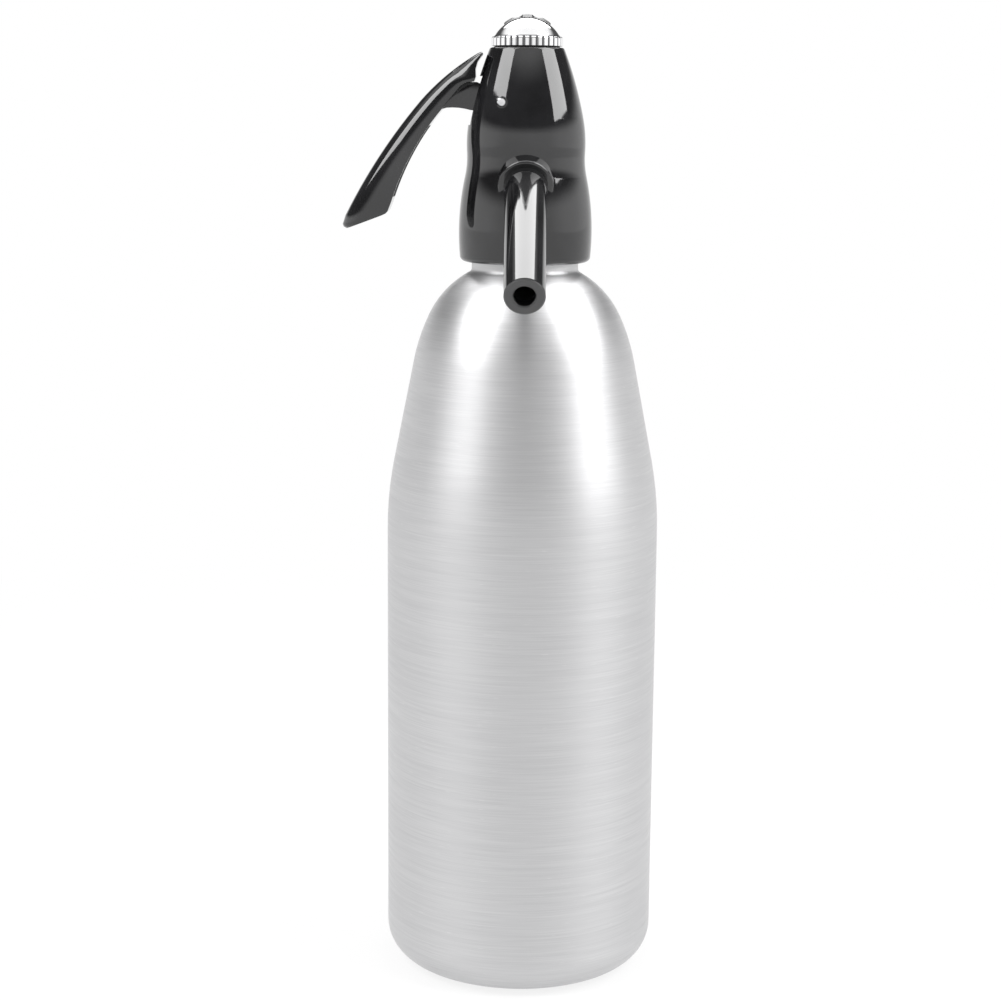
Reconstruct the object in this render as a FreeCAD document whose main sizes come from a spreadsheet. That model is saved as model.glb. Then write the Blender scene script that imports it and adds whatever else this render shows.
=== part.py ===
import FreeCAD, Part
import math
import os
import Sketcher

# Soda siphon, 1 litre class, in millimetres.
# The origin is the centre of the base on the standing plane and +Z is up.
# The spout points along -Y, the lever along -X, and the charger holder rises behind along +Y.

doc = FreeCAD.newDocument("soda_siphon")
sheet = doc.addObject("Spreadsheet::Sheet", "dims")

# Driving dimensions, each written once.
driving = [
    # bottle
    ("bottle_radius", 45.0),
    ("bottle_wall", 1.5),
    ("base_corner", 12.0),
    ("shoulder_top", 235.3),
    ("neck_radius", 17.4),
    ("neck_height", 14.7),
    ("neck_bore", 13.5),
    ("neck_root_fillet", 1.5),
    ("rim_chamfer", 0.4),
    ("shoulder_lean", 11.1),
    ("shoulder_turn", 25.3),
    ("shoulder_end_turn", 61.4),
    ("body_sweep_share", 4.35),
    ("upper_sweep_share", 2.32),
    ("crown_sweep_share", 1.123),
    # tube set that hangs in the neck
    ("tube_flange_thick", 1.5),
    ("tube_flange_gap", 1.4),
    ("measuring_length", 46.0),
    ("measuring_wall", 1.0),
    ("measuring_gap", 0.7),
    ("gas_port_radius", 2.2),
    ("gas_port_circle", 8.5),
    ("gas_port_count", 4),
    ("siphon_radius", 3.0),
    ("siphon_wall", 0.6),
    ("siphon_floor_gap", 4.5),
    ("siphon_reach", 10.0),
    ("siphon_notch_radius", 1.5),
    ("hub_wall", 2.2),
    # head shell
    ("head_lift", 2.2),
    ("thread_gap", 0.15),
    ("insert_wall", 1.85),
    ("insert_rise", 0.5),
    ("collar_wall", 2.3),
    ("collar_crown_height", 9.5),
    ("collar_round", 1.9),
    ("collar_sweep", 85.0),
    ("collar_turn", 12.2),
    ("waist_sweep", 28.4),
    ("waist_turn", 3.4),
    ("brow_sweep", 44.0),
    ("brow_turn", 11.1),
    ("nose_sweep", 120.0),
    ("top_edge", 0.8),
    ("head_height", 68.4),
    ("shell_wall", 3.1),
    ("cavity_height", 31.7),
    ("upper_cavity_radius", 11.0),
    ("cap_bore_depth", 8.9),
    # valve body
    ("gasket_thick", 1.5),
    ("gasket_width", 3.4),
    ("valve_flange_thick", 2.3),
    ("valve_flange_gap", 0.1),
    ("column_radius", 9.0),
    ("column_height", 29.0),
    ("seat_height", 13.0),
    ("seat_thick", 4.0),
    ("seat_bore", 2.2),
    ("chamber_radius", 4.4),
    ("chamber_height", 10.0),
    ("gland_radius", 6.0),
    ("gland_head_radius", 7.5),
    ("gland_head_thick", 1.5),
    ("seal_thick", 2.0),
    ("seal_groove", 1.1),
    ("seal_depth", 1.6),
    ("socket_gap", 0.3),
    ("spout_seal_thick", 1.2),
    ("relief_gap", 0.2),
    ("relief_length", 14.0),
    ("wrench_notch_width", 2.0),
    ("wrench_notch_depth", 1.6),
    ("wrench_notch_floor", 0.5),
    ("wrench_notch_count", 6),
    # valve stem
    ("stem_radius", 1.6),
    ("stem_gap", 0.1),
    ("washer_radius", 3.8),
    ("washer_thick", 2.0),
    ("disc_thick", 1.2),
    ("stem_top_height", 43.0),
    ("stem_foot_gap", 0.3),
    ("stem_pin_radius", 1.12),
    ("nut_radius", 4.2),
    ("nut_thick", 2.2),
    ("nut_gap", 0.02),
    ("finger_play", 0.1),
    # spring
    ("wire_radius", 0.45),
    ("coil_radius", 3.7),
    ("coil_turns", 6.5),
    # top cap
    ("cap_inset", 0.35),
    ("cap_ring_height", 2.9),
    ("cap_ring_round", 0.6),
    ("cap_dome_inset", 0.9),
    ("cap_dome_height", 6.2),
    ("cap_skirt_radius", 8.6),
    ("cap_skirt_wall", 2.0),
    ("cap_skirt_length", 8.0),
    ("cap_ceiling", 2.2),
    ("cap_gap", 0.15),
    ("flute_count", 34),
    ("flute_radius", 0.55),
    ("flute_shift", 0.14),
    ("cap_seal_thick", 0.5),
    ("cap_seal_inset", 1.2),
    # lever
    ("pivot_offset", 7.9),
    ("pivot_height", 38.6),
    ("pin_radius", 1.45),
    ("pin_gap", 0.06),
    ("pin_sink", 0.5),
    ("pin_chamfer", 0.3),
    ("recess_gap", 0.45),
    ("recess_length", 6.0),
    ("hub_radius", 3.6),
    ("hub_width", 10.0),
    ("finger_nose", 1.5),
    ("finger_gap", 4.4),
    ("finger_thick", 2.4),
    ("finger_space", 2.0),
    ("lever_width", 16.0),
    ("lever_wall", 1.9),
    ("lever_upper_sweep", 75.0),
    ("lever_back_sweep", 185.0),
    ("lever_inner_sweep", 86.0),
    ("slot_gap", 0.4),
    ("slot_low", 7.3),
    ("slot_high", 8.2),
    # spout
    ("spout_height", 21.75),
    ("spout_fall", 26.0),
    ("spout_boss_radius", 8.9),
    ("spout_boss_end", 21.7),
    ("spout_boss_edge", 0.8),
    ("spout_hole_runout", 6.0),
    ("spout_root_radius", 7.0),
    ("spout_end_radius", 6.2),
    ("spout_start", 16.2),
    ("spout_end", 89.0),
    ("spout_lip", 3.0),
    ("spout_edge", 0.5),
    ("pipe_radius", 4.5),
    ("pipe_bore", 3.2),
    ("pipe_start", 7.5),
    ("port_boss_radius", 6.3),
    ("port_boss_end", 12.5),
    # charging inlet and charger holder
    ("inlet_height", 11.0),
    ("inlet_rise", 28.0),
    ("inlet_boss_radius", 11.4),
    ("inlet_boss_end", 28.0),
    ("inlet_boss_edge", 0.6),
    ("lug_radius", 6.4),
    ("lug_end", 14.2),
    ("spigot_radius", 4.5),
    ("spigot_start", 9.5),
    ("gas_bore", 1.2),
    ("gas_drop", 7.6),
    ("nipple_radius", 9.4),
    ("nipple_length", 10.0),
    ("nipple_pocket_radius", 4.9),
    ("nipple_pocket_depth", 6.5),
    ("nipple_chamfer", 0.8),
    ("check_radius", 2.6),
    ("check_length", 5.0),
    ("check_foot_gap", 0.4),
    ("check_lip", 1.5),
    ("pin_seat_radius", 3.6),
    ("pin_seat_thick", 2.0),
    ("needle_radius", 1.1),
    ("needle_length", 5.0),
    ("needle_point", 1.5),
    ("needle_edge", 0.1),
    ("needle_slit", 0.44),
    ("gasket_bore_gap", 0.2),
    ("charger_radius", 9.0),
    ("charger_length", 66.0),
    ("charger_neck", 4.4),
    ("charger_neck_length", 9.0),
    ("charger_gap", 0.3),
    ("charger_seat_gap", 0.1),
    ("pad_thick", 2.0),
    ("pad_radius", 6.3),
    ("holder_floor", 2.6),
    ("holder_wall", 2.1),
    ("holder_start_gap", 0.4),
    ("holder_mouth_edge", 0.4),
    ("holder_end_round", 1.5),
    ("holder_mouth_relief", 1.5),
    ("lobe_count", 10),
    ("lobe_rise", 0.7),
    ("lobe_depth", 1.2),
    ("lobe_hollow", 2.8),
    ("lobe_runout", 4.0),
    ("grip_length", 22.0),
    # common clearance between parts of one body that only meet
    ("fit_gap", 0.05),
]

# How far a cut runs past the material, and where a boss starts inside the shell.
cut_past = 1
boss_root = 4

for row, (alias, number) in enumerate(driving, start=1):
    sheet.set(f"A{row}", alias)
    sheet.set(f"B{row}", str(number))
    sheet.setAlias(f"B{row}", alias)
doc.recompute()


# A size is a number together with the sheet expression that gives it.
class Size:
    def __init__(self, value, text):
        self.value = float(value)
        self.text = text

    def join(self, other, sign, value):
        return Size(value, f"({self.text} {sign} {as_size(other).text})")

    def __add__(self, other):
        return self.join(other, "+", self.value + as_size(other).value)

    def __radd__(self, other):
        return as_size(other) + self

    def __sub__(self, other):
        return self.join(other, "-", self.value - as_size(other).value)

    def __rsub__(self, other):
        return as_size(other) - self

    def __mul__(self, other):
        return self.join(other, "*", self.value * as_size(other).value)

    def __rmul__(self, other):
        return as_size(other) * self

    def __truediv__(self, other):
        return self.join(other, "/", self.value / as_size(other).value)

    def __neg__(self):
        return 0 - self


def as_size(thing):
    return thing if isinstance(thing, Size) else Size(thing, f"({thing})")


def cosine(angle):
    return Size(math.cos(math.radians(angle.value)), f"cos({angle.text})")


def sine(angle):
    return Size(math.sin(math.radians(angle.value)), f"sin({angle.text})")


def tangent(angle):
    return Size(math.tan(math.radians(angle.value)), f"tan({angle.text})")


class Sheet:
    def __init__(self):
        for alias, number in driving:
            setattr(self, alias, Size(number, f"dims.{alias}"))


d = Sheet()


# Building blocks

def bind(thing, prop, size):
    thing.setExpression(prop, as_size(size).text)


def new_body(label):
    body = doc.addObject("PartDesign::Body", label)
    body.Label = label
    return body


def origin_plane(body, role):
    return next(f for f in body.Origin.OriginFeatures if f.Role == role)


def is_axis(size):
    return as_size(size).value == 0


# A closed outline of straight runs and arcs, drawn on one of the body's own origin planes.
# Each step is (x, y) for a straight run to that point, or (x, y, radius) for an arc to it,
# with a positive radius for an arc that turns left on its way and a negative one for right.
def outline(body, name, role, loops):
    sketch = body.newObject("Sketcher::SketchObject", name)
    sketch.AttachmentSupport = (origin_plane(body, role), [""])
    sketch.MapMode = "FlatFace"
    for loop in loops:
        points = [FreeCAD.Vector(as_size(s[0]).value, as_size(s[1]).value, 0) for s in loop]
        first = sketch.GeometryCount
        for i, step in enumerate(loop):
            start = points[i - 1]
            end = points[i]
            if len(step) == 2:
                sketch.addGeometry(Part.LineSegment(start, end), False)
            else:
                sketch.addGeometry(arc_through(start, end, as_size(step[2]).value), False)
        for i, step in enumerate(loop):
            here = first + i
            after = first + (i + 1) % len(loop)
            end_point = 2
            if len(step) == 3 and as_size(step[2]).value < 0:
                end_point = 1
            next_step = loop[(i + 1) % len(loop)]
            start_point = 1
            if len(next_step) == 3 and as_size(next_step[2]).value < 0:
                start_point = 2
            sketch.addConstraint(Sketcher.Constraint("Coincident", here, end_point, after, start_point))
            pin_coordinate(sketch, "DistanceX", here, end_point, step[0], -2)
            pin_coordinate(sketch, "DistanceY", here, end_point, step[1], -1)
            if len(step) == 3:
                radius = as_size(step[2])
                if radius.value < 0:
                    radius = -radius
                index = sketch.addConstraint(Sketcher.Constraint("Radius", here, radius.value))
                bind(sketch, f"Constraints[{index}]", radius)
    return sketch


def pin_coordinate(sketch, kind, geometry, point, size, axis):
    if is_axis(size):
        sketch.addConstraint(Sketcher.Constraint("PointOnObject", geometry, point, axis))
        return
    index = sketch.addConstraint(Sketcher.Constraint(kind, geometry, point, as_size(size).value))
    bind(sketch, f"Constraints[{index}]", size)


def arc_through(start, end, radius):
    chord = end - start
    half = chord.Length / 2
    left = FreeCAD.Vector(-chord.y, chord.x, 0)
    left.normalize()
    turn = 1 if radius > 0 else -1
    reach = math.sqrt(max(radius * radius - half * half, 0))
    centre = (start + end) / 2 + left * (reach * turn)
    middle = centre - left * (abs(radius) * turn)
    return Part.Arc(start, middle, end)


def spin(body, name, loops, kind="Revolution"):
    sketch = outline(body, name + "_outline", "XZ_Plane", loops)
    feature = body.newObject("PartDesign::" + kind, name)
    feature.Profile = sketch
    feature.ReferenceAxis = (sketch, ["V_Axis"])
    feature.Angle = 360
    doc.recompute()
    return feature


# A ring of rectangular section about the upright axis.
def ring_loop(inner, outer, low, high):
    return [(inner, low), (outer, low), (outer, high), (inner, high)]


# A cylinder added to or cut from a body. Its foot lies on a line that starts at a height on the
# upright axis and leans forwards or backwards by an angle from the vertical, in the YZ plane.
def round_bar(body, name, kind, radius, start, end, height=0, lean=None):
    bar = body.newObject(f"PartDesign::{kind}Cylinder", name)
    place_on_line(body, bar, start, height, lean)
    bind(bar, "Radius", radius)
    bind(bar, "Height", as_size(end) - start)
    doc.recompute()
    return bar


def place_on_line(body, bar, start, height, lean):
    bar.AttachmentSupport = (origin_plane(body, "XY_Plane"), [""])
    bar.MapMode = "FlatFace"
    if lean is None:
        bind(bar, "AttachmentOffset.Base.z", as_size(start) + height)
        return
    turn = FreeCAD.Rotation(FreeCAD.Vector(1, 0, 0), lean.value)
    bar.AttachmentOffset = FreeCAD.Placement(FreeCAD.Vector(), turn)
    bind(bar, "AttachmentOffset.Rotation.Angle", lean)
    bind(bar, "AttachmentOffset.Base.y", -(as_size(start) * sine(lean)))
    bind(bar, "AttachmentOffset.Base.z", as_size(start) * cosine(lean) + height)


# A block added to or cut from a body between two corners.
def block(body, name, kind, low, high):
    box = body.newObject(f"PartDesign::{kind}Box", name)
    box.AttachmentSupport = (origin_plane(body, "XY_Plane"), [""])
    box.MapMode = "FlatFace"
    for prop, axis in (("Length", 0), ("Width", 1), ("Height", 2)):
        bind(box, prop, as_size(high[axis]) - low[axis])
    for prop, axis in (("x", 0), ("y", 1), ("z", 2)):
        bind(box, f"AttachmentOffset.Base.{prop}", low[axis])
    doc.recompute()
    return box


def polar(body, name, feature, count):
    pattern = body.newObject("PartDesign::PolarPattern", name)
    pattern.Originals = [feature]
    pattern.Axis = (origin_plane(body, "Z_Axis"), [""])
    pattern.Angle = 360
    bind(pattern, "Occurrences", count)
    body.Tip = pattern
    doc.recompute()
    return pattern


def round_edges(body, name, radius, wanted, kind="Fillet"):
    base = body.Tip
    names = [f"Edge{i + 1}" for i, edge in enumerate(base.Shape.Edges) if wanted(edge)]
    feature = body.newObject(f"PartDesign::{kind}", name)
    feature.Base = (base, names)
    bind(feature, "Radius" if kind == "Fillet" else "Size", radius)
    doc.recompute()
    return feature


def lean_body(body, height, lean):
    turn = FreeCAD.Rotation(FreeCAD.Vector(1, 0, 0), lean.value)
    body.Placement = FreeCAD.Placement(FreeCAD.Vector(0, 0, height.value), turn)
    bind(body, "Placement.Rotation.Angle", lean)
    bind(body, "Placement.Base.z", height)


# Levels worked out from the driving dimensions

rim = d.shoulder_top + d.neck_height
gasket_low = rim + d.tube_flange_thick
valve_low = gasket_low + d.gasket_thick
flange_top = valve_low + d.valve_flange_thick
seat_top = valve_low + d.seat_height
chamber_top = seat_top + d.chamber_height
column_top = valve_low + d.column_height
head_low = d.shoulder_top + d.head_lift
head_top = head_low + d.head_height
collar_bore = d.neck_radius + d.thread_gap
insert_radius = collar_bore + d.insert_wall
collar_radius = insert_radius + d.collar_wall
insert_top = rim + d.insert_rise
pivot_z = rim + d.pivot_height
spout_z = rim + d.spout_height
spout_lean = 90 + d.spout_fall
inlet_z = rim + d.inlet_height
inlet_lean = d.inlet_rise - 90
spring_low = pivot_z + d.finger_nose + d.finger_play + d.nut_thick
cap_low = head_top + d.cap_seal_thick
cap_ceiling_z = cap_low + d.cap_ceiling


# The corner points of the shoulder, a given depth inside the outer surface.
def shoulder_points(depth):
    drop = d.bottle_radius - d.neck_radius
    sweep_body = d.body_sweep_share * drop
    sweep_upper = d.upper_sweep_share * drop
    sweep_crown = d.crown_sweep_share * drop
    lean = d.shoulder_lean
    turn = d.shoulder_turn
    last = d.shoulder_end_turn
    fall_body = sweep_body * (1 - cosine(lean))
    fall_upper = sweep_upper * (cosine(lean) - cosine(turn))
    fall_crown = sweep_crown * (cosine(turn) - cosine(last))
    fall_root = d.neck_root_fillet * (1 - cosine(last))
    fall_line = drop - fall_body - fall_upper - fall_crown - fall_root
    root_end = d.shoulder_top
    crown_end = root_end - d.neck_root_fillet * sine(last)
    upper_end = crown_end - sweep_crown * (sine(last) - sine(turn))
    line_end = upper_end - sweep_upper * (sine(turn) - sine(lean))
    line_start = line_end - fall_line / tangent(lean)
    body_end = line_start - sweep_body * sine(lean)
    radius_line = d.bottle_radius - fall_body
    radius_upper = radius_line - fall_line
    radius_crown = radius_upper - fall_upper
    radius_root = radius_crown - fall_crown
    return {
        "body": (d.bottle_radius - depth, body_end),
        "lean": (radius_line - depth * cosine(lean), line_start - depth * sine(lean)),
        "turn": (radius_upper - depth * cosine(lean), line_end - depth * sine(lean)),
        "crown": (radius_crown - depth * cosine(turn), upper_end - depth * sine(turn)),
        "last": (radius_root - depth * cosine(last), crown_end - depth * sine(last)),
        "sweep_body": sweep_body - depth,
        "sweep_upper": sweep_upper - depth,
        "sweep_crown": sweep_crown - depth,
    }


# Bottle: one aluminium shell with a thick threaded neck
def make_bottle():
    body = new_body("bottle")
    out = shoulder_points(as_size(0))
    inn = shoulder_points(d.bottle_wall)
    wall = d.bottle_wall
    corner = d.base_corner
    neck_under = inn["last"][1] + (inn["last"][0] - d.neck_bore) / tangent(d.shoulder_end_turn)
    loop = [
        (0, 0),
        (d.bottle_radius - corner, 0),
        (d.bottle_radius, corner, corner),
        out["body"],
        out["lean"] + (out["sweep_body"],),
        out["turn"],
        out["crown"] + (out["sweep_upper"],),
        out["last"] + (out["sweep_crown"],),
        (d.neck_radius, d.shoulder_top, -d.neck_root_fillet),
        (d.neck_radius, rim),
        (d.neck_bore, rim),
        (d.neck_bore, neck_under),
        inn["last"],
        inn["crown"] + (-inn["sweep_crown"],),
        inn["turn"] + (-inn["sweep_upper"],),
        inn["lean"],
        inn["body"] + (-inn["sweep_body"],),
        (d.bottle_radius - wall, corner),
        (d.bottle_radius - corner, wall, -(corner - wall)),
        (0, wall),
    ]
    spin(body, "bottle_shell", [loop])
    round_edges(body, "rim_edges", d.rim_chamfer, lambda e: on_level(e, rim.value), "Chamfer")


def on_level(edge, level):
    box = edge.BoundBox
    return abs(box.ZMin - level) < 1e-4 and abs(box.ZMax - level) < 1e-4


# Measuring tube: a flanged cup wall that hangs in the neck and carries the siphon tube
def make_measuring_tube():
    body = new_body("measuring_tube")
    outer = d.neck_bore - d.measuring_gap
    inner = outer - d.measuring_wall
    low = rim - d.measuring_length
    hub = d.siphon_radius + d.hub_wall
    bore = d.siphon_radius + d.fit_gap
    flange_radius = d.neck_radius - d.tube_flange_gap
    spin(body, "flange_and_tube", [[
        (inner, low),
        (outer, low),
        (outer, rim),
        (flange_radius, rim),
        (flange_radius, gasket_low),
        (bore, gasket_low),
        (bore, rim - d.hub_wall),
        (hub, rim - d.hub_wall),
        (hub, rim),
        (inner, rim),
    ]])
    port = round_bar(body, "gas_port", "Subtractive", d.gas_port_radius,
                     rim - cut_past, gasket_low + cut_past)
    bind(port, "AttachmentOffset.Base.x", d.gas_port_circle)
    polar(body, "gas_ports", port, d.gas_port_count)


# Siphon tube: the riser that reaches almost to the floor of the bottle
def make_siphon_tube():
    body = new_body("siphon_tube")
    low = d.bottle_wall + d.siphon_floor_gap
    high = rim + d.siphon_reach
    bore = d.siphon_radius - d.siphon_wall
    spin(body, "tube_wall", [ring_loop(bore, d.siphon_radius, low, high)])
    round_bar(body, "foot_notch", "Subtractive", d.siphon_notch_radius, -d.siphon_radius * 2,
              d.siphon_radius * 2, low, as_size(90))


# Head gasket: rubber ring between the tube flange and the valve body
def make_head_gasket():
    body = new_body("head_gasket")
    outer = d.neck_radius - d.tube_flange_gap
    spin(body, "gasket_ring", [ring_loop(outer - d.gasket_width, outer, gasket_low, valve_low)])


# Thread insert: metal ring moulded into the collar of the head
def make_thread_insert():
    body = new_body("thread_insert")
    low = head_low + d.collar_round
    spin(body, "insert_ring", [ring_loop(collar_bore, insert_radius, low, insert_top)])


# The corner points of the head's outer surface
def head_points():
    crown_z = head_low + d.collar_crown_height
    turn = d.collar_turn
    back = d.waist_turn
    brow = d.brow_turn
    foot_z = head_low + d.collar_round
    foot_drop = crown_z - foot_z
    foot_radius = collar_radius - foot_drop * foot_drop / (2 * d.collar_sweep)
    neck_z = crown_z + d.collar_sweep * sine(turn)
    neck_radius = collar_radius - d.collar_sweep * (1 - cosine(turn))
    brow_low_z = neck_z + d.waist_sweep * (sine(turn) + sine(back))
    brow_low_radius = neck_radius + d.waist_sweep * (cosine(turn) - cosine(back))
    brow_top_z = brow_low_z + d.brow_sweep * (sine(back) + sine(brow))
    brow_top_radius = brow_low_radius + d.brow_sweep * (cosine(brow) - cosine(back))
    return {
        "foot": (foot_radius, foot_z),
        "neck": (neck_radius, neck_z),
        "brow_low": (brow_low_radius, brow_low_z),
        "brow_top": (brow_top_radius, brow_top_z),
    }


# The head's outer radius at a level above its brow, along the long arc that runs up to the cap.
def nose_radius(level):
    brow_top = head_points()["brow_top"]
    rise = level - brow_top[1]
    slope = cosine(d.brow_turn)
    bend = 2 * d.nose_sweep * slope * slope * slope
    return brow_top[0] - rise * tangent(d.brow_turn) - rise * rise / bend


# Head shell: glossy moulded casing that screws on the neck and holds the valve
def make_head_shell():
    body = new_body("head_shell")
    at = head_points()
    edge = d.top_edge
    top_radius = nose_radius(head_top)
    spin(body, "outer_form", [[
        (0, head_low),
        (at["foot"][0] - d.collar_round, head_low),
        at["foot"] + (d.collar_round,),
        at["neck"] + (d.collar_sweep,),
        at["brow_low"] + (-d.waist_sweep,),
        at["brow_top"] + (d.brow_sweep,),
        (top_radius + edge * 0.4, head_top - edge, d.nose_sweep),
        (top_radius - edge, head_top, edge * 1.3),
        (0, head_top),
    ]])
    round_bar(body, "spout_boss", "Additive", d.spout_boss_radius, boss_root, d.spout_boss_end,
              spout_z, spout_lean)
    round_edges(body, "spout_boss_edge", d.spout_boss_edge,
                lambda e: on_line_level(e, spout_z, spout_lean, d.spout_boss_end))
    round_bar(body, "inlet_boss", "Additive", d.inlet_boss_radius, boss_root, d.inlet_boss_end,
              inlet_z, inlet_lean)
    round_edges(body, "inlet_boss_edge", d.inlet_boss_edge,
                lambda e: on_line_level(e, inlet_z, inlet_lean, d.inlet_boss_end))
    cavity = at["brow_low"][0] - d.shell_wall
    cavity_top = rim + d.cavity_height
    skirt_bore = d.cap_skirt_radius + d.cap_gap
    spin(body, "cavity", [[
        (0, head_low - cut_past),
        (collar_bore, head_low - cut_past),
        (collar_bore, head_low + d.collar_round),
        (insert_radius, head_low + d.collar_round),
        (insert_radius, insert_top),
        (collar_bore, insert_top),
        (collar_bore, flange_top),
        (cavity, flange_top),
        (cavity, cavity_top),
        (d.upper_cavity_radius, cavity_top + (cavity - d.upper_cavity_radius)),
        (d.upper_cavity_radius, head_top - d.cap_bore_depth),
        (skirt_bore, head_top - d.cap_bore_depth),
        (skirt_bore, head_top + cut_past),
        (0, head_top + cut_past),
    ]], "Groove")
    round_bar(body, "spout_hole", "Subtractive", d.spout_root_radius + d.fit_gap, d.column_radius,
              d.spout_boss_end + d.spout_hole_runout, spout_z, spout_lean)
    round_bar(body, "inlet_hole", "Subtractive", d.spigot_radius + d.fit_gap, d.column_radius,
              d.inlet_boss_end + cut_past, inlet_z, inlet_lean)
    slot_half = d.hub_width / 2 + d.slot_gap
    block(body, "lever_slot", "Subtractive",
          (-(collar_radius + cut_past), -slot_half, pivot_z - d.slot_low),
          (-d.pivot_offset, slot_half, pivot_z + d.slot_high))
    cross_hole(body, "pin_hole", d.pin_radius + d.fit_gap, collar_radius * 2)
    half = pin_half_length()
    for name, far_end in (("pin_recess_back", half + d.recess_length), ("pin_recess_front", -half)):
        recess = cross_hole(body, name, d.pin_radius + d.recess_gap, d.recess_length)
        bind(recess, "AttachmentOffset.Base.y", far_end)


def on_line_level(edge, height, lean, end):
    turn = math.radians(lean.value)
    direction = FreeCAD.Vector(0, -math.sin(turn), math.cos(turn))
    foot = FreeCAD.Vector(0, 0, height.value)
    points = edge.discretize(5)
    return all(abs((p - foot).dot(direction) - end.value) < 1e-3 for p in points)


# Half the length of the lever pin: it ends a little below the shell's surface.
def pin_half_length():
    radius = nose_radius(pivot_z)
    squared = radius * radius - d.pivot_offset * d.pivot_offset
    half = Size(math.sqrt(squared.value), f"sqrt({squared.text})")
    return half - d.pin_sink


def cross_hole(body, name, radius, length):
    return cross_bar(body, name, "Subtractive", radius, length)


def cross_bar(body, name, kind, radius, length):
    bar = body.newObject(f"PartDesign::{kind}Cylinder", name)
    place_across(body, bar, radius, length)
    return bar


def place_across(body, bar, radius, length):
    bar.AttachmentSupport = (origin_plane(body, "XY_Plane"), [""])
    bar.MapMode = "FlatFace"
    bar.AttachmentOffset = FreeCAD.Placement(FreeCAD.Vector(), FreeCAD.Rotation(FreeCAD.Vector(1, 0, 0), 90))
    bind(bar, "Radius", radius)
    bind(bar, "Height", length)
    bind(bar, "AttachmentOffset.Base.x", -d.pivot_offset)
    bind(bar, "AttachmentOffset.Base.y", length / 2)
    bind(bar, "AttachmentOffset.Base.z", pivot_z)
    doc.recompute()


# Valve body: flanged block with the siphon socket, valve seat, valve chamber and both ports
def make_valve_body():
    body = new_body("valve_body")
    flange_radius = collar_bore - d.valve_flange_gap
    spin(body, "flange_and_column", [[
        (0, valve_low),
        (flange_radius, valve_low),
        (flange_radius, flange_top),
        (d.column_radius, flange_top),
        (d.column_radius, column_top),
        (0, column_top),
    ]])
    round_bar(body, "spout_port_boss", "Additive", d.port_boss_radius, boss_root, d.port_boss_end,
              spout_z, spout_lean)
    round_bar(body, "inlet_lug", "Additive", d.lug_radius, boss_root, d.lug_end, inlet_z, inlet_lean)
    socket = d.siphon_radius + d.socket_gap
    groove_low = valve_low + d.seal_depth
    gland = d.gland_radius
    spin(body, "bores", [[
        (0, valve_low - cut_past),
        (socket, valve_low - cut_past),
        (socket, groove_low),
        (socket + d.seal_groove, groove_low),
        (socket + d.seal_groove, groove_low + d.seal_thick),
        (socket, groove_low + d.seal_thick),
        (socket, seat_top - d.seat_thick),
        (d.seat_bore, seat_top - d.seat_thick),
        (d.seat_bore, seat_top),
        (d.chamber_radius, seat_top),
        (d.chamber_radius, chamber_top),
        (gland, chamber_top),
        (gland, column_top + cut_past),
        (0, column_top + cut_past),
    ]], "Groove")
    round_bar(body, "spout_port", "Subtractive", d.pipe_bore, cut_past, d.port_boss_end, spout_z, spout_lean)
    round_bar(body, "spout_socket", "Subtractive", d.pipe_radius + d.fit_gap,
              d.pipe_start - d.spout_seal_thick, d.port_boss_end + cut_past, spout_z, spout_lean)
    round_bar(body, "spout_relief", "Subtractive", d.spout_root_radius + d.relief_gap,
              d.spout_start - d.relief_gap, d.spout_start + d.relief_length, spout_z, spout_lean)
    round_bar(body, "inlet_socket", "Subtractive", d.spigot_radius + d.fit_gap, d.spigot_start,
              d.lug_end + cut_past, inlet_z, inlet_lean)
    drop = d.gas_drop
    reach = drop / sine(-inlet_lean)
    round_bar(body, "gas_channel", "Subtractive", d.gas_bore, reach, d.spigot_start + cut_past,
              inlet_z, inlet_lean)
    port = round_bar(body, "gas_fall", "Subtractive", d.gas_bore, valve_low - cut_past,
                     inlet_z + reach * cosine(inlet_lean))
    bind(port, "AttachmentOffset.Base.y", drop)


# Seals of the valve body
def make_ring(label, name, inner, outer, low, high):
    body = new_body(label)
    spin(body, name, [ring_loop(inner, outer, low, high)])
    return body


def make_seals():
    low = valve_low + d.seal_depth
    socket = d.siphon_radius + d.socket_gap
    make_ring("tube_seal", "seal_ring", d.siphon_radius + d.fit_gap, socket + d.seal_groove,
              low, low + d.seal_thick)
    make_ring("stem_seal", "seal_ring_upper", d.stem_radius + d.fit_gap, d.gland_radius - d.fit_gap,
              chamber_top, chamber_top + d.seal_thick)
    spout = make_ring("spout_seal", "seal_ring_spout", d.pipe_bore, d.pipe_radius,
                      d.pipe_start - d.spout_seal_thick, d.pipe_start)
    lean_body(spout, spout_z, spout_lean)


# Gland nut: screws into the column and keeps the stem seal down
def make_gland_nut():
    body = new_body("gland_nut")
    bore = d.stem_radius + d.stem_gap
    low = chamber_top + d.seal_thick
    spin(body, "nut_form", [[
        (bore, low),
        (d.gland_radius - d.fit_gap, low),
        (d.gland_radius - d.fit_gap, column_top),
        (d.gland_head_radius, column_top),
        (d.gland_head_radius, column_top + d.gland_head_thick),
        (bore, column_top + d.gland_head_thick),
    ]])
    half = d.wrench_notch_width / 2
    notch = block(body, "wrench_notch", "Subtractive",
                  (-half, d.gland_head_radius - d.wrench_notch_depth, column_top + d.wrench_notch_floor),
                  (half, d.gland_head_radius + cut_past, column_top + d.gland_head_thick + cut_past))
    polar(body, "wrench_notches", notch, d.wrench_notch_count)


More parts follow.
